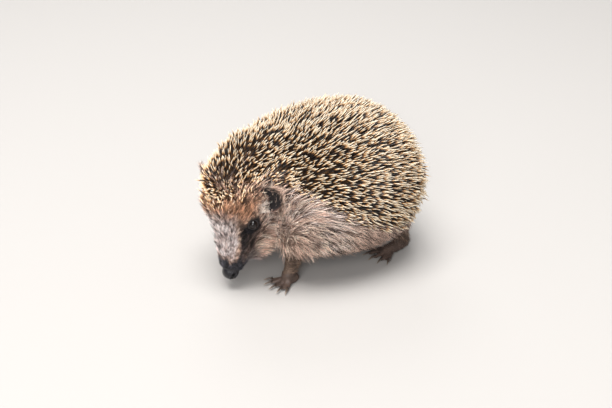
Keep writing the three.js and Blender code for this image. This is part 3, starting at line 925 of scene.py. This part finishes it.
shortHair = {"rings": (0.0, 0.45), "widths": (0.9, 0.85)}
faceLook = {
    "radius": 0.095, "density": 3.4, "length": (6.0, 8.6), "lift": (12, 26),
    "locks": 0.19, "lockPull": 0.85, "lockTone": (0.12, 1.9),
}
snoutLook = {
    "radius": 0.062, "density": 11.0, "length": (5.4, 8.6), "lift": (16, 40), **shortHair,
    "locks": 0.14, "lockPull": 0.6, "lockTone": (0.3, 2.6), "hairTone": (0.6, 2.0),
}
flankLook = {
    "radius": 0.15, "density": 1.75, "length": (12, 17), "lift": (16, 26), "reach": -0.4, "uneven": 0.9,
    "lockPull": 0.9, "lockTone": (0.06, 2.3), "hairTone": (0.8, 1.2),
}
bellyLook = {
    "radius": 0.17, "density": 1.0, "length": (10, 14), "lift": (10, 22), "reach": -0.6, "uneven": 0.9,
    "locks": 0.14, "lockPull": 0.6, "lockTone": (0.5, 1.5), "hairTone": (0.75, 1.3),
}
legLook = {
    "radius": 0.10, "density": 2.6, "length": (4.0, 7.0), "lift": (8, 22),
    "locks": 0.12, "lockTone": (0.55, 1.5), "hairTone": (0.7, 1.35),
}
footLook = {
    "radius": 0.07, "density": 3.6, "length": (1.6, 3.2), "lift": (6, 22),
    "lockPull": 0.3, "lockTone": (0.6, 1.4), "hairTone": (0.8, 1.25),
}
earLook = {
    "radius": 0.075, "density": 6.0, "length": (4.0, 7.0), "lift": (10, 34), **shortHair,
    "trimmed": 0.85, "lockPull": 0.4, "lockTone": (0.4, 1.5), "hairTone": (0.7, 1.3), "colour": "earFur",
}
across, tall, earFace = onEar(local)
earInside = ease(skinNormals @ (headAxes @ earFace), 0.2, 0.5)
mirroredFace = headAxes @ (earFace * (-1, 1, 1))
earInside = np.where(local[:, 0] > 0, earInside, ease(skinNormals @ mirroredFace, 0.2, 0.5))
earEdge = ease(np.maximum(np.abs(across), tall), 0.75, 0.95)
earFurry = isEar * np.clip(1 - 1.5 * earInside + 0.25 * earEdge, 0.02, 1)
cheekLook = {
    "radius": 0.11, "density": 2.4, "length": (10, 14), "lift": (32, 60), "lean": (0.3, 0, -0.6),
    "trimmed": 0.35, "lockPull": 0.8, "lockTone": (0.3, 1.8),
}
guardLook = {
    "radius": 0.18, "density": 0.14, "length": (14, 21), "lift": (18, 30), "reach": 0.9, "uneven": 1.3,
    "locks": 0.30, "lockPull": 0.7, "lockTone": (0.5, 1.7), "hairTone": (0.7, 1.3),
}
tuftLook = {
    "radius": 0.085, "density": 3.0, "length": (7, 11), "lift": (20, 44), "lean": (0.7, 0, 0.1),
    "trimmed": 0.55, "locks": 0.12, "lockTone": (0.8, 1.9), "hairTone": (0.8, 1.35), "colour": "tuft",
}
tuftSet = {"root": (24.5, 49.0, 2.6), "fade": (3.8, 5.4)}
toTuft = np.linalg.norm(mirrored(local) - tuftSet["root"], axis=1)
onTuft = (1 - ease(toTuft, *tuftSet["fade"])) * owned(["face", "crown"])
for name, where, look in (
    ("furEarTufts", onTuft, tuftLook), ("furCheeks", lowCheek, cheekLook),
    ("furFaceLeft", onFace * headLeft, faceLook), ("furFaceRight", onFace * ~headLeft, faceLook),
    ("furSnout", onSnout, snoutLook),
    ("furFlankLeft", onTrunk * isLeft * (1 - isUnder), flankLook),
    ("furFlankRight", onTrunk * ~isLeft * (1 - isUnder), flankLook),
    ("furGuard", onTrunk, guardLook), ("furBelly", onTrunk * isUnder, bellyLook),
    ("furLegs", onLegs, legLook), ("furFeet", onFeet, footLook), ("furEars", earFurry, earLook),
):
    growFur(name, where * 1.0, look)


# nose pad

# the pad's own near-black colour, painted darker into the nostrils as shade in their hollows
noseFinish, tree, shader = bandedFinish("noseFinish", 0.3, [
    (0.0, tint(20, 19, 23)), (0.5, tint(10, 9, 11)), (1.0, tint(3, 3, 3)),
], Specular_IOR_Level=0.42)
pebbles = texture(tree, "ShaderNodeTexVoronoi", {"feature": "SMOOTH_F1"}, Scale=2100.0)
addBump(tree, shader, pebbles.outputs["Distance"], 0.7, 0.0002, invert=True)

noseSet = {
    "middle": (0, 3.8, -0.3), "radii": (6.1, 5.0, 5.0), "groove": 0.7, "grooveWidth": 0.6, "narrower": 0.2,
    "nostril": [(2.4, -0.6, -0.8), (3.8, 0.2, 0.4), (5.3, 1.9, 1.2), (6.2, 3.8, 1.1)],
    "nostrilWidth": 0.9, "nostrilDeep": 1.9, "rim": 0.5, "rimFrom": 1.5, "rimWidth": 0.55,
}
bpy.ops.mesh.primitive_uv_sphere_add(segments=128, ring_count=72, radius=1)
nosePad = bpy.context.object
nosePad.name = "nosePad"
ball = readPoints(nosePad.data)
local = ball * noseSet["radii"] + noseSet["middle"]
local[:, 0] *= 1 - noseSet["narrower"] * ease(local[:, 2], -1, 4)
front = 1 - ease(local[:, 1], 2.5, 6)
toNostril = distanceToPath(mirrored(local), noseSet["nostril"])
hole = np.exp(-(toNostril / noseSet["nostrilWidth"]) ** 2)
rim = np.exp(-((toNostril - noseSet["rimFrom"]) / noseSet["rimWidth"]) ** 2)
move = -noseSet["nostrilDeep"] * hole + noseSet["rim"] * rim
groove = noseSet["groove"] * np.exp(-(local[:, 0] / noseSet["grooveWidth"]) ** 2) * front
move -= groove * (1 - ease(local[:, 2], 1.0, 3.0))
writePoints(nosePad.data, fromHead(local + ball * move[:, None]))
# how deep into a nostril each point lies, which the finish paints darker as shade
writeValues(nosePad.data, "along", hole)
bpy.ops.object.shade_smooth()
nosePad.data.materials.append(noseFinish)
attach(nosePad, "root")
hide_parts("nose")


# claws and whiskers

clawFinish = bandedFinish("clawFinish", 0.3, [
    (0.0, tint(50, 41, 37)), (0.6, tint(92, 77, 66)), (1.0, tint(150, 134, 116)),
])[0]
clawSet = {
    "sides": 10, "radius": 0.72 * mm, "sink": 0.0, "rings": (0.0, 0.25, 0.5, 0.72, 0.88, 0.97),
    "widths": (1.0, 1.0, 0.84, 0.6, 0.36, 0.16), "jitter": 0.0, "curl": 0.0, "bow": 0.14,
    "liftRange": (0, 0), "into": 2.3 * mm, "raise": 0.3,
}
for foot in pair("foreclaw") + pair("hindclaw"):
    nodes = [f"{foot}_{i}" for i in range(1, 6)]
    measured = []
    for node in nodes:
        corner = np.unique(np.round([v.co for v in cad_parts[node].data.vertices], 6), axis=0)
        middle = corner.mean(axis=0)
        way = np.linalg.svd(corner - middle)[2][0]
        way = way * (1 if way[1] < 0 else -1)  # claws point forward
        along = (corner - middle) @ way
        measured.append((middle + way * along.min(), way, along.max() - along.min()))
    bases, ways, reaches = map(np.array, zip(*measured))
    upright = unit(np.array([0, 0, 1.0]) - ways * ways[:, 2:3])
    roots = {
        "places": bases - ways * clawSet["into"] + upright * clawSet["raise"] * mm, "normals": upright,
        "uvs": np.column_stack([np.linspace(0.1, 0.9, 5), np.full(5, 0.5)]),
    }
    claws = growCoat(
        foot, roots, clawSet, ways, reaches + clawSet["into"], np.zeros(5), None,
        np.ones((5, 3)), np.zeros(5), clawFinish,
    )
    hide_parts(*nodes)

whiskerFinish = bandedFinish("whiskerFinish", 0.35, [
    (0.0, tint(40, 36, 36)), (0.5, tint(120, 108, 100)), (1.0, tint(215, 205, 195)),
])[0]
whiskerSet = {
    "sides": 4, "radius": 0.11 * mm, "sink": 0.4 * mm, "rings": (0.0, 0.25, 0.5, 0.75),
    "widths": (1.0, 0.85, 0.65, 0.4), "jitter": 0.10, "curl": 0.05, "bow": 0.22, "liftRange": (0, 90),
    "eachSide": 22, "length": (11, 25), "lift": (22, 48), "behind": (11, 21), "up": (-9, 1),
    "outward": 0.9, "way": (0, 0.75, -0.2),
}
hits = []
for sign in (1, -1):
    for _ in range(whiskerSet["eachSide"]):
        behind, up = draw.uniform(*whiskerSet["behind"]), draw.uniform(*whiskerSet["up"])
        place = Vector(fromHead((sign * 14, behind, up)))
        way = Vector(headAxes @ (-sign, 0, 0.1))
        hits.append(skinTree.ray_cast(place, way)[:2])
places, normals = map(np.array, zip(*hits))
outward = np.sign(inHead(places)[:, :1]) * headAxes[:, 0]
lay = unit(outward * whiskerSet["outward"] + headAxes @ np.array(whiskerSet["way"]))
lay = unit(lay - normals * np.einsum("nj,nj->n", lay, normals)[:, None])
count = len(places)
roots = {"places": places, "normals": normals, "uvs": draw.uniform(0.05, 0.95, (count, 2))}
whiskers = growCoat(
    "whiskers", roots, whiskerSet, lay, draw.uniform(*whiskerSet["length"], count) * mm,
    np.radians(draw.uniform(*whiskerSet["lift"], count)), None,
    np.ones((count, 3)), draw.random(count), whiskerFinish,
)


# eyes

eyeFinish, tree, shader = newFinish("eyeFinish", 0.05, Specular_IOR_Level=0.36)
iris = texture(tree, "ShaderNodeTexNoise", Scale=900.0, Detail=2.0)
irisPaint = ramp(tree, iris.outputs["Fac"], [(0.35, tint(8, 6, 7)), (0.75, tint(26, 17, 13))])
tree.links.new(irisPaint, shader.inputs["Base Color"])
# the lid's edge next to the eye is painted paler: a painted highlight on its wet rim
lidFinish, tree, shader = bandedFinish("lidFinish", 0.45, [
    (0.0, tint(50, 43, 43)), (0.14, tint(20, 17, 19)), (1.0, tint(20, 17, 19)),
])
wrinkle = texture(tree, "ShaderNodeTexNoise", Scale=1500.0, Detail=3.0)
addBump(tree, shader, wrinkle.outputs["Fac"], 0.5, 0.0002)

corneaSet = {"from": 0.72, "high": 0.3}
lidSet = {
    "around": 56, "rows": 10, "wide": 61, "high": 52, "reach": 108, "over": 0.12, "thick": 0.36,
    "swell": 0.45,
}
for sideName, sign in (("left", 1), ("right", -1)):
    low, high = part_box("eye_" + sideName)
    centre = np.array((low + high) / 2)
    radius = eyeSet["radius"] * mm
    bpy.ops.mesh.primitive_uv_sphere_add(segments=48, ring_count=28, radius=radius, location=centre)
    ball = bpy.context.object
    ball.name = "eyeball_" + sideName
    bpy.ops.object.shade_smooth()
    settle(ball)
    look = headAxes @ unit(eyeWay * (sign, 1, 1))
    rays = unit(readPoints(ball.data) - centre)
    cornea = np.clip((rays @ look - corneaSet["from"]) / (1 - corneaSet["from"]), 0, 1)
    reach = eyeSet["radius"] + corneaSet["high"] * cornea * (2 - cornea)
    writePoints(ball.data, centre + rays * reach[:, None] * mm)
    ball.data.materials.append(eyeFinish)
    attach(ball, "root")
    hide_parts("eye_" + sideName)

    longWay = unit(headAxes[:, 1] - look * (headAxes[:, 1] @ look))
    tallWay = np.cross(look, longWay) * sign
    bpy.ops.mesh.primitive_grid_add(x_subdivisions=lidSet["around"], y_subdivisions=lidSet["rows"], size=2)
    lid = bpy.context.object
    lid.name = "eyelid_" + sideName
    grid = readPoints(lid.data)
    turn, row = (grid[:, 0] + 1) * math.pi, (grid[:, 1] + 1) / 2
    opening = 1 / np.sqrt((np.cos(turn) / lidSet["wide"]) ** 2 + (np.sin(turn) / lidSet["high"]) ** 2)
    angle = np.radians(opening + (lidSet["reach"] - opening) * row)
    swell = lidSet["swell"] * np.sin(np.pi * np.clip(row * 1.8, 0, 1)) * (0.7 + 0.3 * np.sin(turn))
    radius = (eyeSet["radius"] + (lidSet["over"] + swell)) * mm
    outward = np.cos(angle)[:, None] * look + np.sin(angle)[:, None] * (
        np.cos(turn)[:, None] * longWay + np.sin(turn)[:, None] * tallWay
    )
    writePoints(lid.data, centre + outward * radius[:, None])
    writeValues(lid.data, "along", row)
    mergeClose(lid, 1e-6)
    first = lid.data.polygons[0]
    if np.array(first.normal) @ (np.array(first.center) - centre) < 0:
        lid.data.flip_normals()
    finishWith(lid, "SOLIDIFY", thickness=lidSet["thick"] * mm, offset=-0.4)
    finishWith(lid, "SUBSURF", levels=1, render_levels=1)
    pickOnly(lid)
    bpy.ops.object.shade_smooth()
    lid.data.materials.append(lidFinish)
    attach(lid, "root")
print("eyes and lids are in")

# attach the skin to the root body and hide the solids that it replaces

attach(skin, "root")
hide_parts(*[node for node in fleshNodes if node != "nose"])
